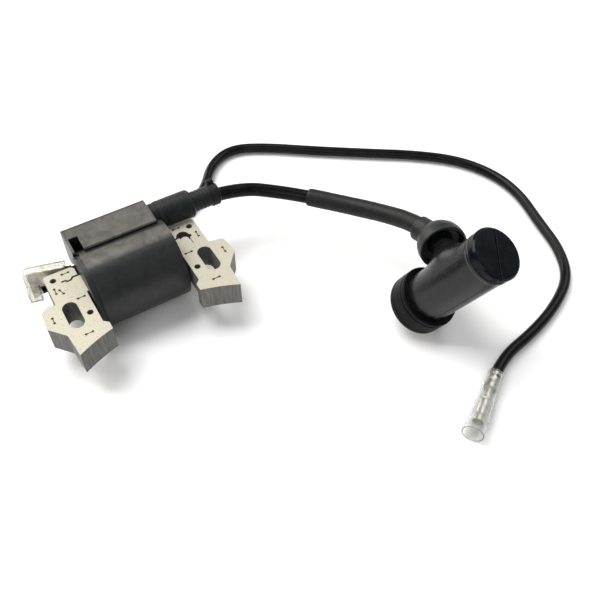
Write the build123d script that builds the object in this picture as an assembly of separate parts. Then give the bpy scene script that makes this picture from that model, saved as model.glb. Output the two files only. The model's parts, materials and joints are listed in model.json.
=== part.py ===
from build123d import *

import os
from math import cos, radians, sin, sqrt, tan

# Ignition coil of a small engine: laminated core, moulded coil, high-tension lead with
# an angled plug cap, and a stop-switch wire. Millimetres, +Z up, everything on one floor
# at z = 0. The origin is under the middle of the coil unit without its two leads.
#
# The coil unit is drawn in the core's own frame: x along the coil, y away from the
# flywheel, z = 0 on the core's top face, origin midway between the two mounting slots.

# ---- where the core's frame sits, and how high the core lies ----
CORE_TOP = 22.4
CORE = Pos(-4.5, -8.85, CORE_TOP)

# ---- core ----
CORE_T = 11.7            # stack thickness
SLOT_X = 30.0            # half the mounting pitch
SLOT_W = 6.2             # mounting slot, for M6 screws
SLOT_L = 14.4
LEG_IN = 21.0            # inner edge of a leg
LEG_OUT = 34.3
LEG_REAR = 25.3
WING_X = 41.4            # tip of the side wing
TOE_X = 19.0             # inner corner of the pole face
TIP_X = 34.6             # outer corner of the pole face
FLYWHEEL_R = 77.4        # the pole faces follow the flywheel's rim
FLYWHEEL_Y = -89.24
BAR_Y = 14.0             # centre bar and coil axis
BAR_W = 10.0
TONGUE_X = 28.2          # how far the bar's tongues reach into the legs
RIVET_R = 1.3            # two tooling holes in each leg
MARK = (2.7, 0.55, 0.35)  # interlock mark: dot spacing, dot radius, groove width
MARK_DEPTH = 0.6

# ---- coil ----
AXIS_Z = -CORE_T / 2
PRIMARY_R = 8.6          # bobbin tube, on the bar
PRIMARY_FLANGE_R = 10.9
PRIMARY_WIRE_R = 10.7
SECONDARY_BORE_R = 11.0
SECONDARY_R = 11.9
SECONDARY_FLANGE_R = 15.2
SECONDARY_WIRE_R = 14.5
SECTIONS = 4
BARREL_R = 17.0
BARREL_BORE_R = 15.4
BARREL_X0 = -18.0
BARREL_X1 = 19.4
CAP_X0 = -20.2           # outer face of the left end
COIL_HALF = 17.6         # half the bobbins' length

# ---- electronics pocket on the barrel's rear shoulder ----
POCKET = dict(x0=CAP_X0, x1=17.2, y0=20.8, y1=36.0, z0=-6.0, z1=11.2)
POCKET_WALL = 0.8
RESIN_TOP = 11.0
BOARD_Z = 7.4
BOARD_T = 1.2
NOTCH = dict(x0=-19.0, x1=-15.0, y0=20.0, y1=29.3, z0=4.0, z1=12.0)

# ---- high-tension tower and its boot ----
TOWER_Y = 31.2
TOWER_Z = 3.3
TOWER_R = 5.2
TOWER_BORE_R = 3.15
TOWER_X = 33.0
BOOT_R = 6.5
BOOT_TAIL_R = 4.7
BOOT_SHOULDER_X = 37.2
BOOT_END_X = 50.4
CLAMP_TURN = 60.0        # where the clamp's knuckle sits, up from the rear

# ---- stop-switch blade and the connector on it, in a frame turned to the rear ----
FLAG_TURN = -15.0
FLAG = Pos(-20.2, 26.9, 0) * Rot(0, 0, FLAG_TURN)
BLADE_Z = -3.8
BLADE_W = 6.3
BLADE_T = 0.8
BLADE_TIP = -14.5
COVER_TIP = -21.5
COVER_MOUTH = -3.2
COVER_W = 4.1
COVER_TOP = 0.8
COVER_BOTTOM = -8.4
COVER_FOOT = -14.4
COVER_WALL = 0.5
CRIMP_R = 2.6

# ---- socket and clear sleeve on the stop-switch wire's free end ----
SOCKET_R = 2.0
END_SLEEVE_R0 = 3.00
END_SLEEVE_R1 = 4.55

# ---- leads ----
LEAD_R = 3.1
SLEEVE_R = 4.1
KILL_R = 2.35
FIT = 0.05               # clearance of a lead in a sleeve or a rubber part

# ---- plug cap, drawn upright: z from the boot's open end, stub toward +x ----
CAP_FOOT = (94.3, -65.25)  # centre of the boot's open end, seen from above
CAP_AZIMUTH = -60.0
CAP_ELEVATION = 60.0
CAP_ROLL = 214.0
CAP_LENGTH = 54.3
CAP_R = 10.8
STUB_Z = 33.3
STUB_DROOP = 30.0        # the stub leans this far towards the plug end
STUB_R = 5.5
STUB_END = 26.0
PLUG_BOOT_R = 13.4
PLUG_BOOT_TOP = 11.4
PLUG_BOOT_EDGE = 2.0
INSULATOR_R = 7.4        # bore for the spark plug's insulator
CONTACT_BORE_R = 4.4
DISC_R = 11.1
DISC_T = 3.2
SHANK_R = 7.0
BELL_MOUTH = 19.3        # distance of the lead seal's lip from the cap's axis
BELL_R = 10.2


def box(x0, x1, y0, y1, z0, z1):
    """A block between two corners."""
    middle = Pos((x0 + x1) / 2, (y0 + y1) / 2, (z0 + z1) / 2)
    return middle * Box(x1 - x0, y1 - y0, z1 - z0)


def rod_x(x0, x1, radius, y=BAR_Y, z=AXIS_Z):
    """A round bar along X, on the coil's axis unless told otherwise."""
    return Pos((x0 + x1) / 2, y, z) * Rot(0, 90, 0) * Cylinder(radius, x1 - x0)


def tube_x(x0, x1, outer, inner, y=BAR_Y, z=AXIS_Z):
    """A round tube along X."""
    return rod_x(x0, x1, outer, y, z) - rod_x(x0 - 1, x1 + 1, inner, y, z)


def rod_z(z0, z1, radius):
    """A round bar along Z."""
    return Pos(0, 0, (z0 + z1) / 2) * Cylinder(radius, z1 - z0)


def turned(*points):
    """A solid of revolution about Z, from (radius, height) points."""
    profile = Plane.XZ * make_face(Polyline(*points, close=True))
    return revolve(profile, Axis.Z)


def round_corners(face, *corners):
    """Round the corners nearest to the given (x, y, radius) points."""
    for x, y, radius in corners:
        corner = face.vertices().sort_by_distance(Vector(x, y))[0]
        face = fillet(corner, radius)
    return face


def stack(face):
    """Extrude an outline of the core down through its thickness."""
    return extrude(face, amount=-CORE_T)


def save(name, shape):
    """Write one sub-part."""
    export_step(shape, f"parts/{name}.step")


# ---------------------------------------------------------------- core


def pole_y(x):
    """Height of the flywheel's arc at x."""
    return FLYWHEEL_Y + sqrt(FLYWHEEL_R**2 - x**2)


def leg_outline(inner_corner_r):
    """Outline of the right leg; its pole face is an arc round the flywheel."""
    sides = Polyline(
        (TOE_X, pole_y(TOE_X)),
        (TOE_X, -10.6),
        (LEG_IN, -8.8),
        (LEG_IN, LEG_REAR),
        (LEG_OUT, LEG_REAR),
        (LEG_OUT, 8.6),
        (40.6, 7.4),
        (WING_X, -1.8),
        (35.5, -8.8),
        (TIP_X, pole_y(TIP_X)),
    )
    middle_x = (TOE_X + TIP_X) / 2
    pole = ThreePointArc(
        (TIP_X, pole_y(TIP_X)), (middle_x, pole_y(middle_x)), (TOE_X, pole_y(TOE_X))
    )
    return round_corners(
        make_face([*sides.edges(), pole]),
        (LEG_IN, LEG_REAR, inner_corner_r),
        (LEG_OUT, LEG_REAR, 1.5),
        (LEG_OUT, 8.6, 0.9),
        (40.6, 7.4, 1.6),
        (WING_X, -1.8, 1.2),
        (35.5, -8.8, 1.6),
        (LEG_IN, -8.8, 0.6),
        (TOE_X, -10.6, 0.6),
    )


def patch(x0, x1, y0, y1):
    """A rectangle between two corners."""
    return Pos((x0 + x1) / 2, (y0 + y1) / 2) * Rectangle(x1 - x0, y1 - y0)


def disc(x, y, radius):
    return Pos(x, y) * Circle(radius)


def right_tongue():
    """End of the centre bar in the right leg, with its round locking lug."""
    root = BAR_Y - BAR_W / 2
    shape = patch(20.0, TONGUE_X, root, 14.2) + patch(20.0, 24.4, root, 16.8)
    return shape + disc(26.0, 14.8, 1.9)


def right_socket():
    """The right leg's socket: the tongue and the open crescent behind its lug."""
    crescent = disc(26.0, 17.3, 2.8) + patch(20.0, 24.5, 16.8, 17.6)
    slit = disc(28.7, 16.3, 1.0) + patch(27.8, 28.5, 11.4, 16.0)
    return right_tongue() + crescent + slit


def left_tongue():
    """End of the centre bar in the left leg (drawn on the right), with a stepped edge."""
    root = BAR_Y - BAR_W / 2
    return make_face(
        Polyline(
            (20.0, root),
            (TONGUE_X, root),
            (TONGUE_X, 18.7),
            (26.7, 18.7),
            (26.2, 17.9),
            (24.2, 17.9),
            (23.2, 19.0),
            (20.0, 19.0),
            close=True,
        )
    )


def left_socket():
    """The left leg's socket: the tongue and a thin stepped gap behind it."""
    gap = make_face(
        Polyline(
            (20.0, 19.0),
            (23.2, 19.0),
            (24.2, 17.9),
            (26.2, 17.9),
            (26.7, 18.7),
            (TONGUE_X, 18.7),
            (TONGUE_X, 19.5),
            (26.3, 19.5),
            (25.8, 18.7),
            (24.5, 18.7),
            (23.5, 19.9),
            (20.0, 19.9),
            close=True,
        )
    )
    return left_tongue() + gap


def interlock_mark(x, y, turn):
    """Outline of a mark that keys the sheets together: two dots joined by a groove."""
    spacing, dot_r, groove = MARK
    half = spacing / 2
    shape = disc(-half, 0, dot_r) + disc(half, 0, dot_r) + Rectangle(spacing, groove)
    return Pos(x, y) * Rot(0, 0, turn) * shape


def leg(outline, socket, marks):
    """One leg: slot, socket, two tooling holes and the shallow interlock marks."""
    face = outline - socket
    face -= Pos(SLOT_X, 0) * Rot(0, 0, 90) * SlotOverall(SLOT_L, SLOT_W)
    face -= disc(31.0, 21.4, RIVET_R) + disc(23.7, -2.0, RIVET_R)
    solid = stack(face)
    for x, y, turn in marks:
        solid -= extrude(interlock_mark(x, y, turn), amount=-MARK_DEPTH)
    return solid


def core():
    """The two legs and the bar that joins them through the coil."""
    mirrored = Plane.YZ
    marks = [(25.3, 22.9, 0), (32.1, 15.4, 90), (24.0, 7.2, 0), (37.8, 1.2, 90), (27.7, -11.7, 0)]
    right = leg(leg_outline(0.5), right_socket(), marks)
    left = leg(leg_outline(2.2), left_socket(), [*marks, (29.9, 14.0, 70)])
    save("right_core_leg", CORE * right)
    save("left_core_leg", CORE * mirror(left, mirrored))
    half = BAR_W / 2
    bar = patch(-20.0, 20.0, BAR_Y - half, BAR_Y + half)
    bar += right_tongue() + mirror(left_tongue(), mirrored)
    save("center_core_bar", CORE * stack(bar))


# ---------------------------------------------------------------- windings


def bobbin(tube_r, flange_r, flange_places, flange_t, bore):
    """A spool along the coil: a tube with flanges, around the given bore."""
    spool = rod_x(-COIL_HALF, COIL_HALF, tube_r)
    for x in flange_places:
        spool += rod_x(x - flange_t / 2, x + flange_t / 2, flange_r)
    return spool - bore


def windings():
    """Primary on the bar, sectioned secondary around it."""
    bar_bore = Pos(0, BAR_Y, AXIS_Z) * Box(2 * COIL_HALF + 2, BAR_W + 0.2, CORE_T + 0.2)
    end_t = 1.2
    end_x = COIL_HALF - end_t / 2
    primary = bobbin(PRIMARY_R, PRIMARY_FLANGE_R, [-end_x, end_x], end_t, bar_bore)
    save("primary_bobbin", CORE * primary)
    wound = COIL_HALF - end_t
    save("primary_winding", CORE * tube_x(-wound, wound, PRIMARY_WIRE_R, PRIMARY_R))

    pitch = 2 * end_x / SECTIONS
    flanges = [-end_x + i * pitch for i in range(SECTIONS + 1)]
    around = rod_x(-COIL_HALF - 1, COIL_HALF + 1, SECONDARY_BORE_R)
    secondary = bobbin(SECONDARY_R, SECONDARY_FLANGE_R, flanges, end_t, around)
    save("secondary_bobbin", CORE * secondary)
    half = (pitch - end_t) / 2
    coils = []
    for i in range(SECTIONS):
        middle = flanges[i] + pitch / 2
        coils.append(tube_x(middle - half, middle + half, SECONDARY_WIRE_R, SECONDARY_R))
    save("secondary_winding", CORE * Compound(coils))


# ---------------------------------------------------------------- housing and electronics


def pocket_space():
    """Inside of the electronics pocket, behind the barrel."""
    p = POCKET
    space = box(
        p["x0"] + POCKET_WALL,
        p["x1"] - POCKET_WALL,
        p["y0"] + POCKET_WALL,
        p["y1"] - POCKET_WALL,
        p["z0"] + POCKET_WALL,
        p["z1"] + 1,
    )
    corner = box(NOTCH["x0"] - 1, NOTCH["x1"] + 1, 20.0, 30.5, -10.0, 12.5)
    return space - corner - rod_x(-30, 30, BARREL_R)


def blade():
    """Upright quick-connect blade, bent to the rear, with a tab up to the board."""
    z0, z1 = BLADE_Z - BLADE_W / 2, BLADE_Z + BLADE_W / 2
    half = BLADE_T / 2
    flat = box(BLADE_TIP, -1.3, -half, half, z0, z1)
    flat -= Pos(-10.5, 0, BLADE_Z) * Rot(90, 0, 0) * Cylinder(0.9, 3)
    neck = box(-1.6, 1.3, -half, half, -5.2, -1.2)
    tab = box(-19.4, -18.6, 26.2, 34.0, -5.2, -1.2)
    riser = box(-19.4, -18.6, 31.2, 34.0, -5.2, BOARD_Z + BOARD_T)
    return FLAG * (flat + neck) + tab + riser


def board():
    """Circuit board, lying over the parts that hang from it."""
    top = BOARD_Z + BOARD_T
    wide = box(-13.0, 15.0, 25.2, 34.4, BOARD_Z, top)
    return wide + box(-18.6, -13.0, 31.0, 34.4, BOARD_Z, top)


def transistor(x, width, height):
    """A flat-backed moulded package with three legs up to the board."""
    body = box(x - width / 2, x + width / 2, 30.6, 33.8, BOARD_Z - 1.6 - height, BOARD_Z - 1.6)
    body = chamfer(body.edges().filter_by(Axis.Z).group_by(Axis.Y)[0], 0.8)
    for step in (-1.27, 0.0, 1.27):
        body += Pos(x + step, 32.4, BOARD_Z - 0.8) * Cylinder(0.25, 1.6)
    return body


def bias_resistor():
    """Axial resistor under the board, on two bent leads."""
    y = 32.2
    z = BOARD_Z - 2.2
    body = rod_x(-10.5, -6.5, 1.1, y, z)
    wire = rod_x(-12.0, -5.0, 0.3, y, z)
    for x in (-12.0, -5.0):
        wire += Pos(x, y, (z + BOARD_Z) / 2) * Cylinder(0.3, BOARD_Z - z)
    return body + wire


def tower_contact():
    """Spike on the tower's axis: the lead's core is pushed onto it."""
    pin = rod_x(11.0, 37.0, 0.9, TOWER_Y, TOWER_Z)
    tip = Pos(38.5, TOWER_Y, TOWER_Z) * Rot(0, 90, 0) * Cone(0.9, 0.05, 3.0)
    root = rod_x(11.0, 12.2, 2.2, TOWER_Y, TOWER_Z)
    return pin + tip + root


def housing():
    """Barrel, pocket and tower in one moulding, with the end cap, resin and electronics."""
    p = POCKET
    shell = rod_x(BARREL_X0, BARREL_X1, BARREL_R)
    outer = box(p["x0"], p["x1"], p["y0"], p["y1"], p["z0"], p["z1"])
    outer = chamfer(outer.edges().filter_by(Axis.X).group_by(Axis.Z)[-1], 0.6)
    outer = fillet(outer.edges().filter_by(Axis.X).group_by(Axis.Z)[0].sort_by(Axis.Y)[-1], 2.0)
    shell += outer
    shell += rod_x(p["x1"] - 1, TOWER_X, TOWER_R, TOWER_Y, TOWER_Z)
    shell -= rod_x(-30, BARREL_X1 - 1.4, BARREL_BORE_R)
    shell -= Pos(0, BAR_Y, AXIS_Z) * Box(60, BAR_W + 0.2, CORE_T + 0.2)
    shell -= pocket_space()
    notch = box(NOTCH["x0"], NOTCH["x1"], NOTCH["y0"], NOTCH["y1"], NOTCH["z0"], NOTCH["z1"])
    shell -= notch - rod_x(-30, 30, BARREL_R)
    shell -= rod_x(p["x1"] + 2, TOWER_X + 1, TOWER_BORE_R, TOWER_Y, TOWER_Z)
    shell -= tower_contact()
    shell -= blade()
    shell -= box(-60, 60, -60, 60, -60, -CORE_TOP)
    save("housing", CORE * shell)

    end = rod_x(CAP_X0, BARREL_X0, BARREL_R - 0.6)
    wall = box(p["x0"] - 1, p["x1"], p["y0"], p["y1"], p["z0"], p["z1"])
    end -= wall - rod_x(-30, 30, BARREL_BORE_R)
    end -= blade()
    end -= Pos(0, BAR_Y, AXIS_Z) * Box(60, BAR_W + 0.2, CORE_T + 0.2)
    save("housing_end_cap", CORE * end)

    electronics = {
        "blade_terminal": blade(),
        "tower_contact": tower_contact(),
        "circuit_board": board(),
        "power_transistor": transistor(4.0, 7.6, 5.2),
        "trigger_transistor": transistor(-2.5, 4.4, 3.8),
        "bias_resistor": bias_resistor(),
    }
    resin = pocket_space() - box(-30, 30, 10, 40, RESIN_TOP, 20)
    for name, part in electronics.items():
        resin -= part
        save(name, CORE * part)
    save("potting_resin", CORE * resin)


def lead_boot():
    """Ribbed rubber boot over the tower, with the tail that grips the lead."""
    boot = rod_x(17.2, 21.2, 5.9, TOWER_Y, TOWER_Z)
    for x in (17.7, 19.3, 20.9):
        boot += rod_x(x - 0.45, x + 0.45, BOOT_R - 0.2, TOWER_Y, TOWER_Z)
    sleeve = rod_x(21.0, BOOT_SHOULDER_X, BOOT_R, TOWER_Y, TOWER_Z)
    sleeve = fillet(sleeve.edges().sort_by(Axis.X)[-1], 1.6)
    boot += sleeve + rod_x(36.0, BOOT_END_X, BOOT_TAIL_R, TOWER_Y, TOWER_Z)
    boot = fillet(boot.edges().sort_by(Axis.X)[-1], 0.6)
    boot -= rod_x(17.0, BARREL_X1 + FIT, BARREL_R + FIT)
    boot -= rod_x(17.0, TOWER_X + 0.4, TOWER_R + FIT, TOWER_Y, TOWER_Z)
    boot -= rod_x(TOWER_X, 45.0, LEAD_R + FIT, TOWER_Y, TOWER_Z)
    return boot - rod_x(45.0, BOOT_END_X + 1, LEAD_R + 0.4, TOWER_Y, TOWER_Z)


def boot_clamp():
    """Clamp ring round the boot's tail, with a knuckle at the rear."""
    ring = tube_x(46.4, 49.6, BOOT_TAIL_R + 0.45, BOOT_TAIL_R + FIT, TOWER_Y, TOWER_Z)
    reach = BOOT_TAIL_R + 1.1
    knuckle_y = TOWER_Y + reach * cos(radians(CLAMP_TURN))
    knuckle_z = TOWER_Z + reach * sin(radians(CLAMP_TURN))
    knuckle = tube_x(46.4, 49.6, 1.2, 0.5, knuckle_y, knuckle_z)
    return ring + (knuckle - rod_x(40, 55, BOOT_TAIL_R + 0.45, TOWER_Y, TOWER_Z))


# ---------------------------------------------------------------- leads


def cord_path(route, name):
    """Runs joined by tangent arcs, each as large as its two runs allow."""
    points = [Vector(*point) for point in route]
    radii = []
    for before, here, after in zip(points, points[1:], points[2:]):
        half_turn = radians((here - before).get_angle(after - here)) / 2
        shorter = min((here - before).length, (after - here).length)
        radii.append(0.45 * shorter / tan(half_turn))
    runs = [(there - here).length for here, there in zip(points, points[1:])]
    print(name, "runs", [round(run, 1) for run in runs])
    print(name, "radii", [round(radius, 1) for radius in radii])
    path = FilletPolyline(*points, radius=radii)
    print(name, "length", round(path.length, 1))
    return path


def swept(path, radius, name=None):
    """Round cord along a path."""
    start = Plane(origin=path @ 0, z_dir=path % 0)
    cord = sweep(start * Circle(radius), path=path)
    if name:
        ratio = cord.volume / (3.14159265 * radius**2 * path.length)
        print(name, "volume over section times length", round(ratio, 4))
    return cord


def half_space(path, fraction, ahead):
    """Everything near the path that lies ahead of, or behind, one place on it."""
    size = 60.0
    here = Plane(origin=path @ fraction, z_dir=path % fraction)
    side = 1 if ahead else -1
    return here * Pos(0, 0, side * size / 2) * Box(size, size, size)


def cap_frame():
    """Where the upright cap lies: it leans on the rim of its boot."""
    lean = radians(90 - CAP_ELEVATION)
    edge = PLUG_BOOT_EDGE
    foot_z = (PLUG_BOOT_R - edge) * sin(lean) - edge * cos(lean) + edge
    up = Vector(
        cos(radians(CAP_ELEVATION)) * cos(radians(CAP_AZIMUTH)),
        cos(radians(CAP_ELEVATION)) * sin(radians(CAP_AZIMUTH)),
        sin(radians(CAP_ELEVATION)),
    )
    level = up.cross(Vector(0, 0, 1))
    side = level.rotate(Axis((0, 0, 0), up), CAP_ROLL)
    return Plane(origin=(*CAP_FOOT, foot_z), x_dir=side, z_dir=up)


CAP = cap_frame()
STUB = Plane(
    origin=(0, 0, STUB_Z),
    x_dir=(0, 1, 0),
    z_dir=(cos(radians(STUB_DROOP)), 0, -sin(radians(STUB_DROOP))),
)


def stub_point(distance):
    """A point on the stub's axis, in the part's frame."""
    return CAP.from_local_coords(STUB.from_local_coords(Vector(0, 0, distance)))


LEAD_END = 14.0          # the lead stops this far from the cap's axis
LEAD_CORNER = 28.0
LEAD_ROUTE = [
    (27.5, 22.35, 25.7),
    (53.0, 22.35, 25.7),
    (76.0, 9.15, 21.4),
    (94.0, -10.35, 21.0),
    (104.0, -26.35, 23.7),
    (108.8, -39.05, 26.9),
    tuple(stub_point(LEAD_CORNER)),
    tuple(stub_point(LEAD_END)),
]
SLEEVE_FROM = 0.43       # the heat-shrink sleeve's ends, as fractions of the lead
SLEEVE_TO = 0.86

KILL_START = (-39.5, 30.8, -11.3)  # in the coil unit's frame
KILL_ROUTE = [
    tuple(CORE.position + Vector(*KILL_START)),
    (-33.0, 21.95, 11.1),
    (-20.5, 26.35, 6.6),
    (-8.5, 32.15, 3.1),
    (4.5, 35.75, 2.4),
    (21.0, 37.35, 2.4),
    (37.0, 41.35, 2.4),
    (51.5, 51.75, 2.4),
    (62.5, 66.65, 2.4),
    (77.0, 72.65, 2.4),
    (92.5, 65.15, 2.4),
    (114.0, 48.95, 2.4),
    (137.0, 32.75, 2.4),
    (157.5, 18.75, 2.4),
    (174.0, 3.65, 2.4),
    (182.8, -14.35, 2.4),
    (183.8, -32.35, 2.4),
    (178.6, -51.35, 2.4),
    (174.4, -69.85, 2.4),
    (165.5, -85.15, 2.4),
    (149.5, -94.45, 2.4),
    (131.0, -100.45, 2.4),
    (109.7, -104.25, 2.66),
    (98.0, -111.95, 3.34),
]


def leads():
    """The two cords, the sleeve on the thick one, and the rubber bell on its far end."""
    lead_path = cord_path(LEAD_ROUTE, "ht_lead")
    save("ht_lead", swept(lead_path, LEAD_R, "ht_lead"))

    sleeve = swept(lead_path, SLEEVE_R) - swept(lead_path, LEAD_R)
    sleeve &= half_space(lead_path, SLEEVE_FROM, True)
    sleeve -= half_space(lead_path, SLEEVE_TO, True)
    save("lead_sleeve", sleeve)

    kill_path = cord_path(KILL_ROUTE, "kill_wire")
    save("kill_wire", swept(kill_path, KILL_R, "kill_wire"))
    save("lead_seal", lead_seal(lead_path))


def lead_seal(lead_path):
    """Bell over the cap's stub, narrowing to a neck that follows the lead."""
    bell = turned(
        (0, 23.4),
        (STUB_R + FIT, 23.4),
        (8.4, 23.0),
        (9.0, BELL_MOUTH),
        (BELL_R, BELL_MOUTH),
        (BELL_R, 22.6),
        (9.6, 25.4),
        (8.2, 28.2),
        (5.6, 31.0),
        (0, 31.0),
    )
    bell = CAP * STUB * bell
    stub = CAP * STUB * rod_z(10, STUB_END, STUB_R + FIT)
    neck_start = stub_point(LEAD_CORNER - 2)
    towards = Vector(*LEAD_ROUTE[-3]) - stub_point(LEAD_CORNER)
    neck = Plane(origin=neck_start, z_dir=towards) * Pos(0, 0, 5.5) * Cylinder(5.5, 11.0)
    bore = swept(lead_path, LEAD_R + FIT)
    sleeve_bore = swept(lead_path, SLEEVE_R + FIT) - half_space(lead_path, SLEEVE_TO, True)
    return bell + neck - stub - bore - sleeve_bore


# ---------------------------------------------------------------- plug cap


def cap_body():
    """Moulded tube with the angled stub, open at the plug end and tapped at the top."""
    flange_z = CAP_LENGTH - DISC_T - 0.5
    body = rod_z(3.0, flange_z, CAP_R)
    body += rod_z(flange_z - 1.6, flange_z, CAP_R + 0.25)
    stub = STUB * rod_z(0, STUB_END, STUB_R)
    root = STUB * turned((0, 6.0), (8.6, 6.0), (6.6, 14.5), (STUB_R, 17.0), (0, 17.0))
    body += stub + root
    body -= rod_z(0, 22.0, INSULATOR_R)
    body -= rod_z(21.0, 60.0, CONTACT_BORE_R)
    body -= rod_z(44.6, 60.0, SHANK_R + FIT)
    body -= STUB * rod_z(0, 40, 0.95)
    body -= STUB * rod_z(13.9, 40, LEAD_R + 0.02)
    return body - STUB * rod_z(20, 40, LEAD_R + 0.5)


def end_screw():
    """Slotted disc on a short threaded shank."""
    top = CAP_LENGTH
    disc_part = rod_z(top - DISC_T, top, DISC_R)
    disc_part = chamfer(disc_part.edges().sort_by(Axis.Z)[-1], 0.7)
    shank = rod_z(45.4, top - DISC_T + 1, SHANK_R)
    slot = box(-DISC_R - 1, DISC_R + 1, -0.45, 0.45, top - 0.9, top + 1)
    return disc_part + shank - slot


def contact_spring():
    """Compression spring between the resistor and the end screw."""
    coil_r = 3.2
    height = 8.6
    start = 36.4
    helix = Helix(pitch=height / 6, height=height, radius=coil_r)
    section = Plane(origin=helix @ 0, z_dir=helix % 0) * Circle(0.35)
    return Pos(0, 0, start) * sweep(section, path=helix, is_frenet=True)


def plug_terminal():
    """Brass cup that grips the spark plug's terminal nut."""
    cup = rod_z(12.0, 23.4, CONTACT_BORE_R - 0.1)
    return cup - rod_z(11.0, 20.8, 3.25)


def snap_clip():
    """Open wire ring round the terminal cup."""
    ring = Pos(0, 0, 15.0) * Torus(CONTACT_BORE_R + 0.35, 0.42)
    gap = box(2.0, 8.0, -1.6, 1.6, 14.0, 16.0)
    return ring - gap


def resistor():
    """Ceramic suppressor resistor with two brass end caps in one piece."""
    body = rod_z(23.4, 36.0, 3.4)
    return body + rod_z(23.4, 25.2, 3.9) + rod_z(34.2, 36.0, 3.9)


def lead_screw():
    """Pointed screw in the stub: the lead's core is pushed and turned onto it."""
    shaft = rod_z(CONTACT_BORE_R + 0.6, 17.0, 0.9)
    point = Pos(0, 0, 18.5) * Cone(0.9, 0.05, 3.0)
    return shaft + point


def plug_boot():
    """Rubber boot over the cap's lower end, with a bore for the plug's insulator."""
    boot = rod_z(0, PLUG_BOOT_TOP, PLUG_BOOT_R)
    boot = fillet(boot.edges().sort_by(Axis.Z)[0], PLUG_BOOT_EDGE)
    boot = fillet(boot.edges().sort_by(Axis.Z)[-1], 0.7)
    boot -= rod_z(-1, 5.0, INSULATOR_R - 0.4)
    return boot - rod_z(3.0, 20, CAP_R)


def plug_cap():
    """Everything on the lead's far end except the lead seal."""
    seal_z = CAP_LENGTH - DISC_T
    end_seal = rod_z(seal_z - 0.5, seal_z, 10.4) - rod_z(0, 80, SHANK_R + FIT)
    pieces = {
        "cap_body": cap_body(),
        "end_screw": end_screw(),
        "end_seal": end_seal,
        "contact_spring": contact_spring(),
        "plug_terminal": plug_terminal() - snap_clip(),
        "snap_clip": snap_clip(),
        "suppressor_resistor": resistor(),
        "lead_screw": STUB * lead_screw(),
        "plug_boot": plug_boot(),
    }
    for name, piece in pieces.items():
        save(name, CAP * piece)


# ---------------------------------------------------------------- connectors


def cover_shape(x0, x1, half, z0, z1, corner):
    """Block whose outer top corner is well rounded."""
    block = box(x0, x1, -half, half, z0, z1)
    edge = block.edges().filter_by(Axis.Y).group_by(Axis.Z)[-1].sort_by(Axis.X)[0]
    return fillet(edge, corner)


def flag_connector():
    """Receptacle on the blade with a low crimp beside it, under a translucent cover."""
    crimp_x, crimp_y, crimp_z = KILL_START
    z0, z1 = BLADE_Z - 3.65, BLADE_Z + 3.65
    grip = box(-15.5, -4.4, -1.3, 1.3, z0, z1)
    grip -= box(-15.0, 0, -BLADE_T / 2 - FIT, BLADE_T / 2 + FIT, z0 + 0.45, z1 - 0.45)
    web = box(-20.0, -15.3, -0.4, 0.4, z0, z1 - 1.0)
    arm = box(-20.0, -16.6, -1.4, 0.4, -9.8, z0 + 0.3)
    crimp = rod_x(crimp_x - 0.3, -35.8, CRIMP_R, crimp_y, crimp_z)
    terminal = FLAG * (grip + web + arm) + crimp
    terminal -= rod_x(crimp_x, 0, KILL_R, crimp_y, crimp_z)
    save("flag_terminal", CORE * terminal)

    wall = COVER_WALL
    half = COVER_W / 2
    body = cover_shape(COVER_TIP, COVER_MOUTH, half, COVER_BOTTOM, COVER_TOP, 3.0)
    hollow = cover_shape(
        COVER_TIP + wall, 0, half - wall, COVER_BOTTOM + wall, COVER_TOP - wall, 3.0 - wall
    )
    foot = box(COVER_TIP, -15.8, -4.8, 2.9, COVER_FOOT, COVER_BOTTOM + 1.5)
    foot_hollow = box(
        COVER_TIP + wall, -15.8 - wall, wall - 4.8, 2.9 - wall, COVER_FOOT + wall, COVER_BOTTOM + 1.0
    )
    cover = FLAG * (body + foot - hollow - foot_hollow)
    mouth = rod_x(-38.5, -25, CRIMP_R + 0.1, crimp_y, crimp_z)
    save("flag_cover", CORE * (cover - mouth))


def end_connector():
    """Crimped socket in a clear flared sleeve, lying on the floor."""
    tip = Vector(*KILL_ROUTE[-1])
    before = Vector(*KILL_ROUTE[-2])
    along = tip - before
    frame = Plane(origin=tip, z_dir=along)
    crimp = rod_z(-5.0, 3.2, KILL_R + 0.25) - rod_z(-6.0, 0, KILL_R)
    barrel = rod_z(3.2, 7.0, 1.5) + rod_z(7.0, 20.0, SOCKET_R + 0.5) - rod_z(8.0, 21.0, SOCKET_R)
    save("end_terminal", frame * (crimp + barrel))
    wall = 0.4
    sleeve = turned(
        (END_SLEEVE_R0 - wall, -6.0),
        (END_SLEEVE_R0, -6.0),
        (END_SLEEVE_R1, 26.0),
        (END_SLEEVE_R1 - wall, 26.0),
    )
    save("end_sleeve", frame * sleeve)


os.makedirs("parts", exist_ok=True)
core()
windings()
housing()
save("lead_boot", CORE * lead_boot())
save("boot_clamp", CORE * boot_clamp())
leads()
plug_cap()
flag_connector()
end_connector()
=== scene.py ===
import json
from contextlib import contextmanager
from math import atan2, cos, pi, radians, sin, sqrt

import bmesh
import bpy
from mathutils import Matrix, Vector, noise


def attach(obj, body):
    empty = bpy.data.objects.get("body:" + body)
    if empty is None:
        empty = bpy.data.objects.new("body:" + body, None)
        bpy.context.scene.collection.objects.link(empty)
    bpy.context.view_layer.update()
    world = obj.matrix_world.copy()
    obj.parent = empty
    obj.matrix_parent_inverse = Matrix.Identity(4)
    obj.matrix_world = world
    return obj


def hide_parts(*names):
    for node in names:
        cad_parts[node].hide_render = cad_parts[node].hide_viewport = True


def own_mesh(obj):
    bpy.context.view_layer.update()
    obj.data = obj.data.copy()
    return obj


# The looks of a small engine's ignition coil. Lengths are in metres; MM turns the
# millimetres of the drawing into them.

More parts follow.
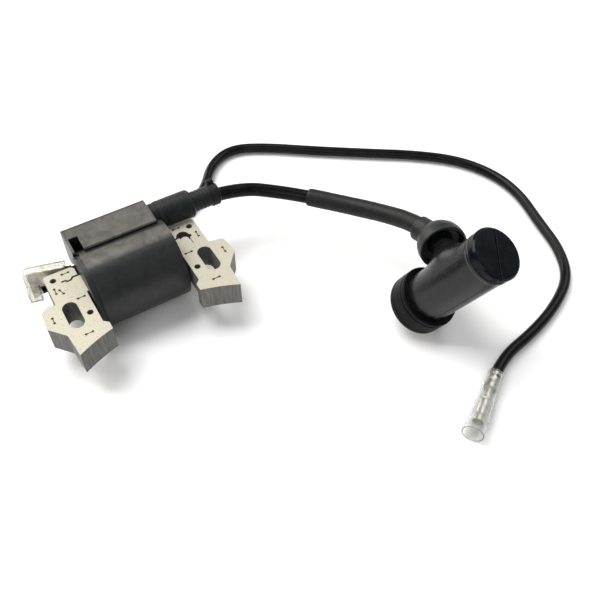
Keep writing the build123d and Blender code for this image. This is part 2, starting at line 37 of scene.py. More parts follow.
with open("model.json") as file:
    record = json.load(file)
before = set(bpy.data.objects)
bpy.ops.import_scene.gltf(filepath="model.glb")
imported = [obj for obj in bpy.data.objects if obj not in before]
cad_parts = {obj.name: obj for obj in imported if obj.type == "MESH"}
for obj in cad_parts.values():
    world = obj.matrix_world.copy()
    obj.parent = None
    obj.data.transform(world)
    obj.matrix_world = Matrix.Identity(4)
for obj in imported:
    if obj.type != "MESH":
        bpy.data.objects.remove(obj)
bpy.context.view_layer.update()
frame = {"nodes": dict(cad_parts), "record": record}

MM = 0.001
NODES = frame["nodes"]

# ---------------------------------------------------------------- sizes shared with the CAD part

CORE_TOP = 22.4
CORE_ORIGIN = Vector((-4.5, -8.85, CORE_TOP)) * MM
CORE_T = 11.7
SHEET_T = 0.5           # one sheet of the core's stack
RIM_TOP = CORE_TOP + 11.2
TOWER_Y = 31.2
TOWER_Z = 3.3

CAP_FOOT = Vector((94.3, -65.25, 5.968)) * MM
CAP_AXIS = Vector((0.25, -0.433013, 0.866025))
CAP_ROLL = radians(214)
CAP_R = 10.8
STUB_Z = 33.3
STUB_DROOP = radians(30)
STUB_R = 5.5
ROOT_R = 8.6            # the stub's cone where it leaves the cap
ROOT_START = 6.0
ROOT_TAPER = 0.235

LEAD_R = 3.1
LEAD_CORNER = 28.0
LEAD_END = 14.0
SLEEVE_R = 4.1
SLEEVE_FROM = 0.43      # where the heat-shrink starts and ends, as shares of the lead
SLEEVE_TO = 0.86
KILL_R = 2.35

# ---------------------------------------------------------------- frames


def axes_frame(origin, z_axis, x_axis):
    """A frame from its origin and two of its axes."""
    z = Vector(z_axis).normalized()
    x = Vector(x_axis)
    x = (x - z * x.dot(z)).normalized()
    y = z.cross(x)
    turn = Matrix((x, y, z)).transposed().to_4x4()
    return Matrix.Translation(origin) @ turn


def cap_frame():
    """The plug cap's frame: z from the boot's open end to the disc, x towards the stub."""
    level = CAP_AXIS.cross(Vector((0, 0, 1)))
    side = Matrix.Rotation(CAP_ROLL, 3, CAP_AXIS) @ level
    return axes_frame(CAP_FOOT, CAP_AXIS, side)


# The coil unit's frame has x along the coil and z = 0 on the core's top face. The stub's z
# runs out along the stub, and the tower's along the lead boot.
CORE = Matrix.Translation(CORE_ORIGIN)
CAP = cap_frame()
STUB = CAP @ axes_frame((0, 0, STUB_Z * MM), (cos(STUB_DROOP), 0, -sin(STUB_DROOP)), (0, 1, 0))
TOWER = CORE @ axes_frame((0, TOWER_Y * MM, TOWER_Z * MM), (1, 0, 0), (0, 1, 0))

# ---------------------------------------------------------------- materials


def new_material(name, **settings):
    """A Principled material. Settings name its sockets, with _ for a space."""
    material = bpy.data.materials.new(name)
    material.use_nodes = True
    shader = material.node_tree.nodes["Principled BSDF"]
    for socket, value in settings.items():
        shader.inputs[socket.replace("_", " ")].default_value = value
    return material


def add_node(material, kind, **inputs):
    """A node of that kind with some of its inputs set or joined to other nodes' outputs."""
    node = material.node_tree.nodes.new(kind)
    for name, value in inputs.items():
        socket = node.inputs[name.replace("_", " ")]
        if isinstance(value, bpy.types.NodeSocket):
            material.node_tree.links.new(value, socket)
        else:
            socket.default_value = value
    return node


def place(material, stretch=(1, 1, 1)):
    """Coordinates in the part's frame, in millimetres, squeezed along each axis."""
    source = add_node(material, "ShaderNodeTexCoord")
    scale = [1000 * s for s in stretch]
    mapping = add_node(material, "ShaderNodeMapping", Vector=source.outputs["Object"], Scale=scale)
    return mapping.outputs["Vector"]


def grain(material, size, stretch=(1, 1, 1), detail=3.0, distortion=0.0):
    """Noise with features of about that many millimetres."""
    texture = add_node(
        material,
        "ShaderNodeTexNoise",
        Vector=place(material, stretch),
        Scale=1 / size,
        Detail=detail,
        Distortion=distortion,
    )
    return texture.outputs["Fac"]


def ramp(material, factor, low, high, start=0.35, end=0.65):
    """Colours from low to high as the factor goes from start to end."""
    node = add_node(material, "ShaderNodeValToRGB", Fac=factor)
    node.color_ramp.elements[0].position = start
    node.color_ramp.elements[1].position = end
    node.color_ramp.elements[0].color = (*low, 1)
    node.color_ramp.elements[1].color = (*high, 1)
    return node.outputs["Color"]


def mix(material, factor, first, second, kind="MIX"):
    """Two colours blended by a factor."""
    node = material.node_tree.nodes.new("ShaderNodeMix")
    node.data_type = "RGBA"
    node.blend_type = kind
    sockets = [s for s in node.inputs if s.type == "RGBA"]
    for socket, value in ((node.inputs[0], factor), (sockets[0], first), (sockets[1], second)):
        if isinstance(value, bpy.types.NodeSocket):
            material.node_tree.links.new(value, socket)
        else:
            socket.default_value = value
    return [s for s in node.outputs if s.type == "RGBA"][0]


def span(material, factor, low, high):
    """The factor 0 to 1 stretched to run from low to high."""
    node = add_node(material, "ShaderNodeMapRange", Value=factor, To_Min=low, To_Max=high)
    return node.outputs["Result"]


def bump(material, height, depth, normal=None):
    """A bump of that many millimetres, on top of an earlier one."""
    node = add_node(material, "ShaderNodeBump", Height=height, Distance=depth * MM, Strength=1.0)
    if normal:
        material.node_tree.links.new(normal, node.inputs["Normal"])
    return node.outputs["Normal"]


def wire(material, colour=None, roughness=None, normal=None):
    """Joins the finished layers to the shader."""
    shader = material.node_tree.nodes["Principled BSDF"]
    pairs = (("Base Color", colour), ("Roughness", roughness), ("Normal", normal))
    for socket, source in pairs:
        if source:
            material.node_tree.links.new(source, shader.inputs[socket])
    return material


def rubber(name, dark, light, roughness, speckle=0.02, shine=0.26):
    """Moulded rubber: fine speckle, faint patches of dust."""
    material = new_material(name, Specular_IOR_Level=shine)
    patches = grain(material, 6.0, detail=4.0)
    dust = grain(material, 1.1, detail=5.0)
    fine = grain(material, 0.35, detail=2.0)
    colour = ramp(material, patches, dark, light)
    worn = ramp(material, dust, (0, 0, 0), (0.035, 0.035, 0.034), 0.55, 0.85)
    colour = mix(material, 0.5, colour, worn, "ADD")
    rough = span(material, patches, roughness - 0.06, roughness + 0.08)
    normal = bump(material, fine, speckle)
    normal = bump(material, dust, 0.03, normal)
    return wire(material, colour, rough, normal)


def moulded(name, dark, light, roughness, texture=0.015, size=0.5, shine=0.35):
    """Moulded plastic: slight mottling, soft orange peel."""
    material = new_material(name, Specular_IOR_Level=shine)
    mottle = grain(material, 3.5, detail=5.0)
    peel = grain(material, size, detail=2.0)
    colour = ramp(material, mottle, dark, light)
    rough = span(material, mottle, roughness - 0.05, roughness + 0.07)
    normal = bump(material, peel, texture)
    return wire(material, colour, rough, normal)


def level(material, low, high):
    """0 below one height of the standing part and 1 above another, in millimetres."""
    split = add_node(material, "ShaderNodeSeparateXYZ", Vector=place(material))
    edge = add_node(
        material, "ShaderNodeMapRange", Value=split.outputs["Z"], From_Min=low, From_Max=high
    )
    return edge.outputs["Result"]


def facing_up(material, low, high):
    """1 on faces that look up or down, 0 on upright ones."""
    source = add_node(material, "ShaderNodeNewGeometry")
    split = add_node(material, "ShaderNodeSeparateXYZ", Vector=source.outputs["Normal"])
    up = add_node(material, "ShaderNodeMath", Value=split.outputs["Z"])
    up.operation = "ABSOLUTE"
    edge = add_node(material, "ShaderNodeMapRange", Value=up.outputs[0], From_Min=low, From_Max=high)
    return edge.outputs["Result"]


def core_steel():
    """Lacquered silicon steel: creamy rolled face with painted shade in its dimples, grey streaked
    sides.
    """
    material = new_material("core_steel", Metallic=0.2, Specular_IOR_Level=0.3)
    stipple = grain(material, 0.4, detail=4.0)
    clouds = grain(material, 5.0, detail=3.0)
    specks = grain(material, 0.9, detail=5.0)
    rolled = ramp(material, stipple, (0.32, 0.30, 0.225), (0.51, 0.48, 0.385), 0.3, 0.6)
    rolled = mix(material, span(material, clouds, 0.0, 0.35), rolled, (0.57, 0.54, 0.445, 1))
    stains = ramp(material, specks, (1, 1, 1), (0.45, 0.42, 0.36), 0.62, 0.72)
    rolled = mix(material, 0.8, rolled, stains, "MULTIPLY")
    sheared = grain(material, 0.5, stretch=(1, 1, 0.06), detail=4.0)
    layers = grain(material, 0.35, stretch=(0.03, 0.03, 1), detail=2.0)
    side = ramp(material, sheared, (0.07, 0.068, 0.062), (0.20, 0.195, 0.18), 0.3, 0.7)
    side = mix(material, span(material, layers, 0.0, 0.35), side, (0.26, 0.25, 0.23, 1))
    flat = facing_up(material, 0.55, 0.9)
    colour = mix(material, flat, side, rolled)
    # Painted shade: flat faces sunk between about 0.2 and 1 mm below the core's top, the floors of
    # its dimples, are darkened almost to black.
    dark = mix(material, 0.82, colour, (0.01, 0.01, 0.01, 1))
    colour = mix(material, level(material, CORE_TOP - 0.2, CORE_TOP - 0.08), dark, colour)
    top = mix(material, flat, side, colour)
    colour = mix(material, level(material, CORE_TOP - 1.4, CORE_TOP - 1.0), side, top)
    rough = span(material, stipple, 0.42, 0.62)
    normal = bump(material, stipple, 0.012)
    normal = bump(material, layers, 0.02, normal)
    return wire(material, colour, rough, normal)


def housing_plastic():
    """Dark thermoset with a satin skin, worn lighter in faint streaks, dusty on its rim, with a
    painted highlight where the rim's lighter colour runs onto its chamfer.
    """
    material = new_material("housing_plastic", Specular_IOR_Level=0.32)
    mottle = grain(material, 4.0, detail=6.0, distortion=0.4)
    scuffs = grain(material, 0.8, stretch=(0.15, 1, 1), detail=4.0)
    peel = grain(material, 0.45, detail=3.0)
    colour = ramp(material, mottle, (0.008, 0.009, 0.011), (0.016, 0.017, 0.018))
    colour = mix(material, span(material, scuffs, 0.0, 0.06), colour, (0.16, 0.15, 0.12, 1))
    # The rim's top takes a lighter colour of real dust; the blend reaches down over the rim's
    # chamfer, where the lighter colour is a painted highlight on the edge.
    clouds = grain(material, 5.0, detail=6.0, distortion=0.8)
    rim_dust_and_highlight = ramp(material, clouds, (0.055, 0.052, 0.046), (0.11, 0.105, 0.092))
    colour = mix(material, level(material, RIM_TOP - 0.7, RIM_TOP - 0.2), colour, rim_dust_and_highlight)
    rough = span(material, scuffs, 0.30, 0.44)
    normal = bump(material, peel, 0.02)
    normal = bump(material, mottle, 0.02, normal)
    return wire(material, colour, rough, normal)


def potting_resin():
    """Filled epoxy poured flush: grey-brown, mottled, dull."""
    material = new_material("potting_resin", Specular_IOR_Level=0.3)
    clouds = grain(material, 5.0, detail=6.0, distortion=0.8)
    fine = grain(material, 0.3, detail=3.0)
    pits = grain(material, 1.2, detail=3.0)
    colour = ramp(material, clouds, (0.050, 0.047, 0.041), (0.105, 0.10, 0.088))
    colour = mix(material, span(material, fine, 0.0, 0.25), colour, (0.16, 0.155, 0.14, 1))
    spots = ramp(material, pits, (1, 1, 1), (0.3, 0.3, 0.3), 0.66, 0.74)
    colour = mix(material, 0.7, colour, spots, "MULTIPLY")
    rough = span(material, clouds, 0.5, 0.68)
    normal = bump(material, fine, 0.03)
    return wire(material, colour, rough, normal)


def jacket(name, roughness, streak):
    """Extruded black jacket: smooth, with faint lengthwise waviness."""
    material = new_material(name, Specular_IOR_Level=0.12)
    wave = grain(material, 5.0, detail=2.0)
    fine = grain(material, 0.5, detail=2.0)
    colour = ramp(material, wave, (0.003, 0.003, 0.0035), (0.007, 0.007, 0.0075))
    rough = span(material, wave, roughness - 0.05, roughness + 0.06)
    normal = bump(material, fine, streak)
    return wire(material, colour, rough, normal)


def tinned(name="tinned_brass"):
    """Bright tin plate with a soft pebbly haze."""
    material = new_material(name, Metallic=0.95)
    haze = grain(material, 0.5, detail=4.0)
    patches = grain(material, 2.5, detail=3.0)
    colour = ramp(material, patches, (0.42, 0.39, 0.33), (0.78, 0.75, 0.69))
    rough = span(material, haze, 0.2, 0.42)
    normal = bump(material, haze, 0.015)
    return wire(material, colour, rough, normal)


def milky_nylon():
    """Translucent natural nylon, slightly yellow where it is thick."""
    material = new_material(
        "milky_nylon",
        Transmission_Weight=0.85,
        IOR=1.3,
        Subsurface_Weight=0.15,
        Subsurface_Scale=0.002,
        Specular_IOR_Level=0.45,
    )
    clouds = grain(material, 3.0, detail=4.0)
    fine = grain(material, 0.6, detail=3.0)
    colour = ramp(material, clouds, (0.84, 0.83, 0.77), (0.95, 0.94, 0.90))
    rough = span(material, fine, 0.10, 0.22)
    normal = bump(material, clouds, 0.05)
    return wire(material, colour, rough, normal)


def clear_vinyl():
    """Thin clear sleeve, a little cloudy."""
    material = new_material(
        "clear_vinyl", Transmission_Weight=0.92, IOR=1.3, Specular_IOR_Level=0.6
    )
    clouds = grain(material, 2.0, detail=4.0)
    colour = ramp(material, clouds, (0.82, 0.84, 0.82), (0.96, 0.96, 0.95))
    rough = span(material, clouds, 0.06, 0.22)
    normal = bump(material, clouds, 0.06)
    return wire(material, colour, rough, normal)


def wound_copper():
    """Layers of enamelled wire, seen as fine rings round the coil."""
    material = new_material("wound_copper", Metallic=0.9)
    turns = grain(material, 0.25, stretch=(1, 0.02, 0.02), detail=1.0)
    colour = ramp(material, turns, (0.30, 0.10, 0.03), (0.72, 0.34, 0.14))
    rough = span(material, turns, 0.25, 0.4)
    normal = bump(material, turns, 0.05)
    return wire(material, colour, rough, normal)


def circuit_board():
    """Green solder mask with a woven glass texture."""
    material = new_material("circuit_board", Specular_IOR_Level=0.5)
    weave = grain(material, 0.5, detail=1.0)
    colour = ramp(material, weave, (0.01, 0.09, 0.03), (0.02, 0.14, 0.05))
    return wire(material, colour, span(material, weave, 0.3, 0.4), bump(material, weave, 0.02))


FINISHES = {
    "core_steel": core_steel(),
    "bobbin_nylon": moulded("bobbin_nylon", (0.42, 0.40, 0.32), (0.5, 0.47, 0.38), 0.5),
    "copper_wire": wound_copper(),
    "housing_plastic": housing_plastic(),
    "end_cap_plastic": moulded("end_cap_plastic", (0.008, 0.009, 0.010), (0.018, 0.018, 0.018), 0.42),
    "potting_resin": potting_resin(),
    "board_laminate": circuit_board(),
    "package_epoxy": moulded("package_epoxy", (0.015, 0.015, 0.015), (0.03, 0.03, 0.03), 0.5),
    "resistor_body": moulded("resistor_body", (0.55, 0.42, 0.22), (0.62, 0.5, 0.3), 0.3),
    "tinned_brass": tinned(),
    "boot_rubber": rubber("boot_rubber", (0.006, 0.007, 0.008), (0.012, 0.013, 0.013), 0.46),
    "clamp_rubber": rubber("clamp_rubber", (0.005, 0.005, 0.005), (0.01, 0.01, 0.01), 0.45),
    "lead_jacket": jacket("lead_jacket", 0.26, 0.01),
    "heat_shrink": rubber("heat_shrink", (0.005, 0.005, 0.005), (0.009, 0.009, 0.009), 0.5, 0.03),
    "seal_rubber": rubber("seal_rubber", (0.012, 0.013, 0.014), (0.022, 0.022, 0.022), 0.42, 0.03),
    "cap_plastic": moulded(
        "cap_plastic", (0.004, 0.0045, 0.005), (0.009, 0.0095, 0.010), 0.25, shine=0.32
    ),
    "screw_plastic": moulded(
        "screw_plastic", (0.003, 0.0035, 0.006), (0.006, 0.007, 0.010), 0.12, shine=0.12
    ),
    "spring_steel": tinned("spring_steel"),
    "resistor_ceramic": moulded("resistor_ceramic", (0.7, 0.68, 0.6), (0.8, 0.78, 0.7), 0.4),
    "plug_boot_rubber": rubber(
        "plug_boot_rubber", (0.002, 0.002, 0.0025), (0.005, 0.005, 0.005), 0.36, shine=0.08
    ),
    "wire_jacket": jacket("wire_jacket", 0.22, 0.008),
    "translucent_cover": milky_nylon(),
    "clear_sleeve": clear_vinyl(),
}
SLOT_OF = {s["node"]: s["material_slot"] for s in frame["record"]["subparts"]}

# ---------------------------------------------------------------- mesh helpers


def linked(name, data):
    """A new object in the scene."""
    thing = bpy.data.objects.new(name, data)
    bpy.context.scene.collection.objects.link(thing)
    return thing


def from_bmesh(name, source):
    """A mesh of that name from a bmesh."""
    mesh = bpy.data.meshes.new(name)
    source.to_mesh(mesh)
    source.free()
    return mesh


def new_object(name, source, slot, body, *replaced):
    """An object from a bmesh, with its finish, its body and the CAD nodes it stands for."""
    return settle(linked(name, from_bmesh(name, source)), slot, body, *replaced)


@contextmanager
def editing(piece):
    """A piece's mesh, open for changes and written back afterwards."""
    mesh = bmesh.new()
    mesh.from_mesh(piece.data)
    yield mesh
    mesh.to_mesh(piece.data)
    mesh.free()


def settle(piece, slot, body, *replaced):
    """Gives a piece its finish and its body."""
    piece.data.materials.clear()
    piece.data.materials.append(FINISHES[slot])
    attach(piece, body)
    if replaced:
        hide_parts(*replaced)
    return piece


def smooth(piece, angle=35):
    """Smooth shading, with creases kept at sharp edges."""
    with editing(piece) as mesh:
        for face in mesh.faces:
            face.smooth = True
        for edge in mesh.edges:
            if len(edge.link_faces) == 2:
                edge.smooth = edge.calc_face_angle(0) < radians(angle)
    return piece


def bevel(piece, width, segments=3, angle=35):
    """Rounds a piece's edges."""
    modifier = piece.modifiers.new("round", "BEVEL")
    modifier.width = width * MM
    modifier.segments = segments
    modifier.limit_method = "ANGLE"
    modifier.angle_limit = radians(angle)
    modifier.harden_normals = True
    modifier.use_clamp_overlap = True
    return piece


def join_rings(mesh, one, two, segments):
    """Faces between two rings of as many points."""
    for i in range(segments):
        j = (i + 1) % segments
        mesh.faces.new((one[i], one[j], two[j], two[i]))


def refined(node, body, width, segments=3, angle=35):
    """A CAD solid's shape as its own piece, with its edges rounded to that width."""
    mesh = bmesh.new()
    mesh.from_mesh(NODES[node].data)
    bmesh.ops.remove_doubles(mesh, verts=mesh.verts, dist=1e-6)
    edges = list(mesh.edges)
    bmesh.ops.dissolve_limit(
        mesh, angle_limit=radians(0.5), use_dissolve_boundaries=False, verts=mesh.verts, edges=edges
    )
    piece = new_object(f"{node}_skin", mesh, SLOT_OF[node], body, node)
    smooth(piece, angle)
    if width:
        bevel(piece, width, segments, angle)
    return piece


def cut(mesh, frame_, heights):
    """Cuts a mesh by planes square to the frame's z, at those heights in millimetres."""
    across = frame_.to_3x3() @ Vector((0, 0, 1))
    for height in heights:
        bmesh.ops.bisect_plane(
            mesh,
            geom=[*mesh.verts, *mesh.edges, *mesh.faces],
            dist=1e-8,
            plane_co=frame_ @ Vector((0, 0, height * MM)),
            plane_no=across,
        )


def steps(start, end, step):
    """Numbers from start to end, evenly spaced."""
    count = round((end - start) / step)
    return [start + (end - start) * i / count for i in range(count + 1)]


def carved(node, body, frame_, heights, shift, width):
    """A CAD solid cut into rings along a frame's z, each point moved out by shift.

    shift(radius, height, turn) gives the move in millimetres, negative towards the axis.
    """
    piece = refined(node, body, 0.0)
    back = frame_.inverted()
    with editing(piece) as mesh:
        cut(mesh, frame_, heights)
        for vert in mesh.verts:
            x, y, z = (back @ vert.co) / MM
            radius = sqrt(x * x + y * y)
            if radius > 1e-3:
                grow = 1 + shift(radius, z, atan2(y, x)) / radius
                vert.co = frame_ @ (Vector((x * grow, y * grow, z)) * MM)
    smooth(piece)
    if width:
        bevel(piece, width)
    return piece


def groove(height, centre, width, depth):
    """Depth of a round-bottomed groove at a height."""
    off = abs(height - centre) / (width / 2)
    return -depth * sqrt(1 - off * off) if off < 1 else 0.0


def uneven(height, turn, depth, along, around):
    """A hollow of 0 to twice that depth, varying along and around a round piece."""
    spot = Vector((height * along, cos(turn) * around, sin(turn) * around))
    return depth * (noise.noise(spot) - 1)


def ease(share):
    """Smooth step from 0 to 1."""
    share = max(0.0, min(1.0, share))
    return share * share * (3 - 2 * share)


def melted(node, body, voxel, rounds, swell=None):
    """A CAD solid rebuilt in small cells, swelled by swell(point) along its normal, relaxed."""
    piece = refined(node, body, 0.0)
    modifier = piece.modifiers.new("cells", "REMESH")
    modifier.mode = "VOXEL"
    modifier.voxel_size = voxel * MM
    bpy.context.view_layer.update()
    made = piece.evaluated_get(bpy.context.evaluated_depsgraph_get())
    mesh = bmesh.new()
    mesh.from_mesh(made.to_mesh())
    made.to_mesh_clear()
    piece.modifiers.clear()
    soft = list(mesh.verts)
    if swell:
        mesh.normal_update()
        moves = [(v, swell(v.co, v.normal)) for v in mesh.verts]
        moves = [(v, move) for v, move in moves if move is not None]
        for vert, move in moves:
            vert.co += move
        soft = [v for v, _ in moves]
    for _ in range(rounds):
        bmesh.ops.smooth_vert(
            mesh, verts=soft, factor=0.5, use_axis_x=True, use_axis_y=True, use_axis_z=True
        )
    mesh.to_mesh(piece.data)
    mesh.free()
    return smooth(piece, 60)


# ---------------------------------------------------------------- leads

LEAD_ROUTE = [
    (27.5, 22.35, 25.7),
    (53.0, 22.35, 25.7),
    (76.0, 9.15, 21.4),
    (94.0, -10.35, 21.0),
    (104.0, -26.35, 23.7),
    (108.8, -39.05, 26.9),
]

KILL_ROUTE = [
    (-44.0, 21.95, 11.1),
    (-33.0, 21.95, 11.1),
    (-20.5, 26.35, 6.6),
    (-8.5, 32.15, 3.1),
    (4.5, 35.75, 2.4),
    (21.0, 37.35, 2.4),
    (37.0, 41.35, 2.4),
    (51.5, 51.75, 2.4),
    (62.5, 66.65, 2.4),
    (77.0, 72.65, 2.4),
    (92.5, 65.15, 2.4),
    (114.0, 48.95, 2.4),
    (137.0, 32.75, 2.4),
    (157.5, 18.75, 2.4),
    (174.0, 3.65, 2.4),
    (182.8, -14.35, 2.4),
    (183.8, -32.35, 2.4),
    (178.6, -51.35, 2.4),
    (174.4, -69.85, 2.4),
    (165.5, -85.15, 2.4),
    (149.5, -94.45, 2.4),
    (131.0, -100.45, 2.4),
    (109.7, -104.25, 2.66),
    (98.0, -111.95, 3.34),
]
WIRE_TIP = Vector(KILL_ROUTE[-1])
WIRE_END = axes_frame(WIRE_TIP * MM, WIRE_TIP - Vector(KILL_ROUTE[-2]), (0, 0, 1))


def stub_point(distance):
    """A point on the cap stub's axis, in millimetres."""
    return (STUB @ Vector((0, 0, distance * MM))) / MM


def cord(name, route, radius, slot):
    """A round cord on one smooth curve."""
    curve = bpy.data.curves.new(name, "CURVE")
    curve.dimensions = "3D"
    spline = curve.splines.new("NURBS")
    spline.points.add(len(route) - 1)
    for point, place_ in zip(spline.points, route):
        point.co = (*(Vector(place_) * MM), 1)
    spline.order_u = 3
    spline.use_endpoint_u = True
    curve.resolution_u = 16
    curve.bevel_depth = radius * MM
    curve.bevel_resolution = 10
    curve.use_fill_caps = True
    return settle(linked(name, curve), slot, "coil", name.removesuffix("_cord"))


def centreline(piece):
    """Points along a cord's curve, read from the curve itself."""
    bare = piece.data.copy()
    bare.bevel_depth = 0
    holder = linked("bare", bare)
    bpy.context.view_layer.update()
    mesh = bpy.data.meshes.new_from_object(holder)
    points = [v.co.copy() for v in mesh.vertices]
    bpy.data.objects.remove(holder)
    bpy.data.meshes.remove(mesh)
    bpy.data.curves.remove(bare)
    return points


def stations(points, start, end, step):
    """(point, direction, distance) along a line, from one distance to another."""
    found = []
    distance = 0.0
    target = start
    for one, two in zip(points, points[1:]):
        length = (two - one).length / MM
        while target <= end + 1e-9 and distance + length >= target:
            share = (target - distance) / length
            found.append((one.lerp(two, share), (two - one).normalized(), target))
            target += step
        distance += length
    return found


def tube_along(name, places, outer, bore, slot, body, *replaced, segments=64):
    """A hollow tube round a line, with outer(distance) as its radius."""
    mesh = bmesh.new()
    side = places[0][1].orthogonal().normalized()
    shells = ([], [])
    for point, direction, distance in places:
        side = (side - direction * side.dot(direction)).normalized()
        across = direction.cross(side)
        for shell, radius in zip(shells, (outer(distance), bore)):
            ring = []
            for i in range(segments):
                turn = 2 * pi * i / segments
                offset = (side * cos(turn) + across * sin(turn)) * radius * MM
                ring.append(mesh.verts.new(point + offset))
            shell.append(ring)
    loop = shells[0] + shells[1][::-1]
    for one, two in zip(loop, loop[1:] + loop[:1]):
        join_rings(mesh, one, two, segments)
    bmesh.ops.recalc_face_normals(mesh, faces=mesh.faces)
    return smooth(new_object(name, mesh, slot, body, *replaced))


def leads():
    """The high-tension lead with its sleeve, and the stop-switch wire."""
    lead_points = [*LEAD_ROUTE, stub_point(LEAD_CORNER), stub_point(LEAD_END)]
    lead = cord("ht_lead_cord", lead_points, LEAD_R, "lead_jacket")
    line = centreline(lead)
    total = sum((b - a).length for a, b in zip(line, line[1:])) / MM
    start = total * SLEEVE_FROM
    end = total * SLEEVE_TO

    def outer(distance):
        taper = min(1.0, (distance - start) / 1.2, (end - distance) / 1.2)
        wobble = noise.noise(Vector((distance * 0.35, 1.7, 0.3))) * 0.08
        return LEAD_R + 0.35 + (SLEEVE_R - LEAD_R - 0.4) * sqrt(max(taper, 0)) + wobble

    places = stations(line, start, end, 0.5)
    tube_along("lead_sleeve_skin", places, outer, LEAD_R, "heat_shrink", "coil", "lead_sleeve")
    return lead, cord("kill_wire_cord", KILL_ROUTE, KILL_R, "wire_jacket")


# ---------------------------------------------------------------- coil unit


def laminated(node):
    """A part of the core, its sides scored between the sheets of the stack."""
    score = 0.05
    piece = refined(node, "coil", 0.0)
    seams = steps(SHEET_T - CORE_T, -SHEET_T, SHEET_T)
    with editing(piece) as mesh:
        cut(mesh, CORE, [seam + side for seam in seams for side in (-score, 0.0, score)])
        mesh.normal_update()
        moves = {}
        for vert in mesh.verts:
            height = (vert.co.z - CORE_ORIGIN.z) / MM
            if min(abs(height - seam) for seam in seams) < 1e-3:
                away = Vector((vert.normal.x, vert.normal.y, 0))
                if away.length > 0.5:
                    moves[vert] = away.normalized() * -score * MM
        for vert, move in moves.items():
            vert.co += move
    return bevel(smooth(piece, 50), 0.12, 2, 60)


def top_faces(mesh, height):
    """The faces at that height, with their edges and points."""
    faces = [face for face in mesh.faces if face.calc_center_median().z > height - 1e-5]
    edges = {edge for face in faces for edge in face.edges}
    verts = {vert for face in faces for vert in face.verts}
    return [*verts, *edges, *faces]


def resin_block():
    """The poured resin, its top rippled and drawn up a little at the walls."""
    piece = refined("potting_resin", "coil", 0.0)
    with editing(piece) as mesh:
        lows = [min(vert.co[i] for vert in mesh.verts) for i in range(3)]
        highs = [max(vert.co[i] for vert in mesh.verts) for i in range(3)]
        for axis in (0, 1):
            normal = Vector([float(i == axis) for i in range(3)])
            spot = lows[axis] + 0.4 * MM
            while spot < highs[axis] - 0.2 * MM:
                bmesh.ops.bisect_plane(
                    mesh,
                    geom=top_faces(mesh, highs[2]),
                    dist=1e-8,
                    plane_co=normal * spot,
                    plane_no=normal,
                )
                spot += 0.6 * MM
        for vert in mesh.verts:
            rim = any(len(e.link_faces) == 2 and e.calc_face_angle(0) > 0.5 for e in vert.link_edges)
            if vert.co.z > highs[2] - 1e-5 and not rim:
                point = vert.co / MM
                ripple = noise.fractal(Vector((point.x * 0.25, point.y * 0.25, 0)), 1.0, 2.0, 3)
                vert.co.z += (-0.10 + 0.09 * max(-1, min(1, ripple))) * MM
    return smooth(piece, 40)


def boot_shape(radius, height, turn):
    """Shallow moulded rings round the boot and its tail."""
    if radius < 4.4:
        return 0.0
    rings = [groove(height, at, 0.7, 0.22) for at in (23.2, 35.4, 40.0, 41.6, 43.2, 44.8)]
    return sum(rings) + uneven(height, turn, 0.05, 0.3, 2)


def clamp_shape(radius, height, turn):
    """Fine ribs round the clamp ring."""
    if radius < 5.0 or radius > 5.4:
        return 0.0
    return sum(groove(height, at, 0.5, 0.2) for at in (47.2, 48.0, 48.8))


def plug_boot_shape(radius, height, turn):
    """The boot's moulded rings, a little uneven."""
    if radius < 11.5:
        return 0.0
    rings = groove(height, 9.2, 0.8, 0.35) + groove(height, 3.6, 0.5, 0.2)
    return rings + uneven(height, turn, 0.06, 0.3, 2)


def receptacle_shape(radius, height, turn):
    """Crimped grip on the wire, waisted neck, rolled barrel with an open seam."""
    if radius < 1.2:
        return 0.0
    dents = uneven(height, turn, 0.05, 0.8, 1)
    if height < 5.0:
        pressed = groove(height, -3.2, 1.6, 0.25) + groove(height, -0.4, 1.8, 0.35)
        fold = -0.3 if abs(abs(turn) - 1.2) < 0.15 else 0.0
        return pressed + fold + dents if radius > 2.4 else 0.0
    if radius < 2.3:
        return dents if height < 7.5 else 0.0
    seam = -0.4 if abs(turn - 0.6) < 0.11 else 0.0
    beads = groove(height, 9.6, 1.4, 0.3) + groove(height, 17.6, 1.2, 0.3)
    return beads + seam + dents


def sleeve_shape(radius, height, turn):
    """The soft sleeve's slight waves."""
    return uneven(height, turn, 0.12, 0.25, 1.2)


def saddle(point, normal):
    """Fills the crease between the cap's round body and its stub with a soft fillet."""
    x, y, z = (CAP.inverted() @ point) / MM
    u, v, w = (STUB.inverted() @ point) / MM
    reach = 6.0
    last = 19.0
    body_gap = sqrt(x * x + y * y) - CAP_R
    cone = max(STUB_R, min(ROOT_R, ROOT_R - (w - ROOT_START) * ROOT_TAPER))
    stub_gap = sqrt(u * u + v * v) - cone
    inside = body_gap < -0.6 or stub_gap < -0.7
    if inside or x < 0 or w > last or not 10 < z < 50:
        return None
    gap = max(body_gap, stub_gap, 0.0)
    if gap > reach:
        return None
    fill = 0.26 * reach * (1 - gap / reach) ** 2
    return normal * fill * ease(x / reach) * ease((last - w) / 5) * MM


def cap_seam():
    """The mould's parting line along the cap, opposite the stub."""
    mesh = bmesh.new()
    rings = []
    for height in steps(11.2, 48.6, 0.4):
        lift = 0.24 + 0.04 * noise.noise(Vector((height, 3.1, 0)))
        crest = CAP_R + lift
        points = ((CAP_R - 0.1, -0.5), (crest, -0.12), (crest, 0.12), (CAP_R - 0.1, 0.5))
        ring = [CAP @ (Vector((-r, t, height)) * MM) for r, t in points]
        rings.append([mesh.verts.new(point) for point in ring])
    for one, two in zip(rings, rings[1:]):
        for i in range(4):
            mesh.faces.new((one[i], one[(i + 1) % 4], two[(i + 1) % 4], two[i]))
    mesh.faces.new(rings[0])
    mesh.faces.new(rings[-1][::-1])
    bmesh.ops.recalc_face_normals(mesh, faces=mesh.faces)
    return smooth(new_object("cap_seam", mesh, "cap_plastic", "coil"), 60)


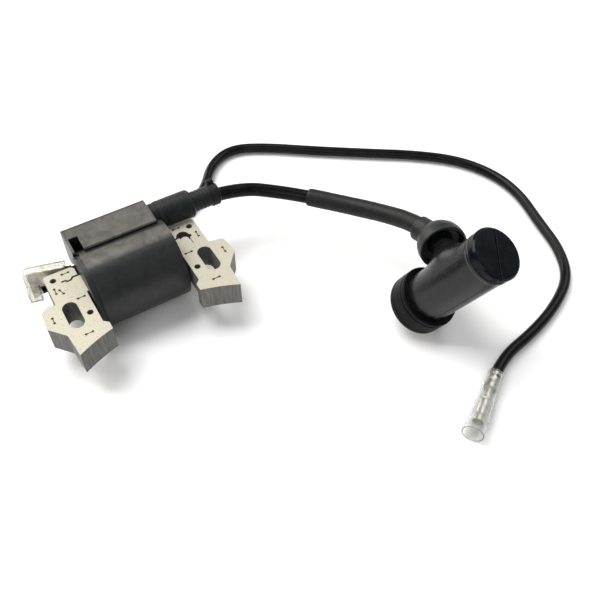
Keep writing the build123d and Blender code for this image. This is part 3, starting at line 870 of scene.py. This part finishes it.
def coil_unit():
    """Every piece that takes the place of a CAD node, except the two cords and the sleeve."""
    for node in ("right_core_leg", "left_core_leg", "center_core_bar"):
        laminated(node)
    refined("housing", "coil", 0.35, segments=4)
    refined("housing_end_cap", "coil", 0.4)
    resin_block()
    carved("lead_boot", "coil", TOWER, steps(17.4, 50.2, 0.2), boot_shape, 0.15)
    carved("boot_clamp", "coil", TOWER, steps(46.6, 49.4, 0.1), clamp_shape, 0.12)
    refined("flag_terminal", "coil", 0.1)
    melted("flag_cover", "coil", 0.2, 14)
    carved("end_terminal", "coil", WIRE_END, steps(-4.8, 19.8, 0.2), receptacle_shape, 0.06)
    carved("end_sleeve", "coil", WIRE_END, steps(-5.6, 25.6, 0.4), sleeve_shape, 0.0)
    melted("lead_seal", "coil", 0.25, 5)
    melted("cap_body", "coil", 0.36, 28, saddle)
    cap_seam()
    carved("plug_boot", "coil", CAP, steps(0.6, 11.0, 0.2), plug_boot_shape, 0.15)
    refined("end_screw", "end_screw", 0.2)
    spring = refined("contact_spring", "coil", 0.0)
    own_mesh(spring)


def dress_inner():
    """Finishes for the CAD pieces that stay as they are."""
    for name, node in NODES.items():
        node.data.materials.clear()
        node.data.materials.append(FINISHES[SLOT_OF[name]])


# ---------------------------------------------------------------- stage, light and camera


def light(name, kind, energy, toward, **settings):
    """A light that shines along a direction."""
    data = bpy.data.lights.new(name, kind)
    data.energy = energy
    for setting, value in settings.items():
        setattr(data, setting, value)
    lamp = linked(name, data)
    lamp.rotation_euler = Vector(toward).to_track_quat("-Z", "Y").to_euler()
    return lamp


def soft_box(name, position, width, height, energy, colour=(1, 1, 1)):
    """A rectangular light that faces the object."""
    toward = Vector((0.06, -0.02, 0.02)) - Vector(position)
    lamp = light(
        name, "AREA", energy, toward, shape="RECTANGLE", size=width, size_y=height, color=colour
    )
    lamp.location = position


def studio():
    """White floor, one broad light from high behind, and soft boxes around."""
    mesh = bmesh.new()
    bmesh.ops.create_grid(mesh, x_segments=1, y_segments=1, size=3.0)
    floor = linked("floor", from_bmesh("floor", mesh))
    floor.location = (0.06, 0, -0.0002)
    paper = new_material("floor_paper", Roughness=0.9)
    wire(paper, ramp(paper, grain(paper, 40.0), (0.93, 0.93, 0.93), (0.96, 0.96, 0.96)))
    floor.data.materials.append(paper)

    world = bpy.data.worlds.new("studio")
    world.use_nodes = True
    background = world.node_tree.nodes["Background"]
    background.inputs["Color"].default_value = (1, 1, 1, 1)
    background.inputs["Strength"].default_value = 0.30
    bpy.context.scene.world = world

    light("key", "SUN", 2.3, (0.18, -0.57, -1.08), angle=radians(38))
    soft_box("back", (-0.35, 1.10, 0.42), 1.0, 0.28, 7.5, (1.0, 0.94, 0.84))
    soft_box("fill", (0.85, 0.15, 0.85), 0.8, 0.8, 4.0)
    soft_box("front", (-0.6, -0.75, 0.8), 0.8, 0.8, 3.4)
    soft_box("strip", (-0.55, 0.45, 0.85), 0.08, 0.7, 2.4)


def camera():
    """The photograph's viewpoint."""
    data = bpy.data.cameras.new("camera")
    data.lens = 44.94
    data.sensor_width = 36.0
    data.clip_start = 0.01
    view = linked("camera", data)
    view.location = Vector((-52.88, -213.79, 255.63)) * MM
    view.rotation_euler = (radians(90 - 50.423), 0, radians(-31.073))
    bpy.context.scene.camera = view


camera()
dress_inner()
lead, kill = leads()
coil_unit()
studio()
bpy.context.scene.view_settings.view_transform = "Standard"
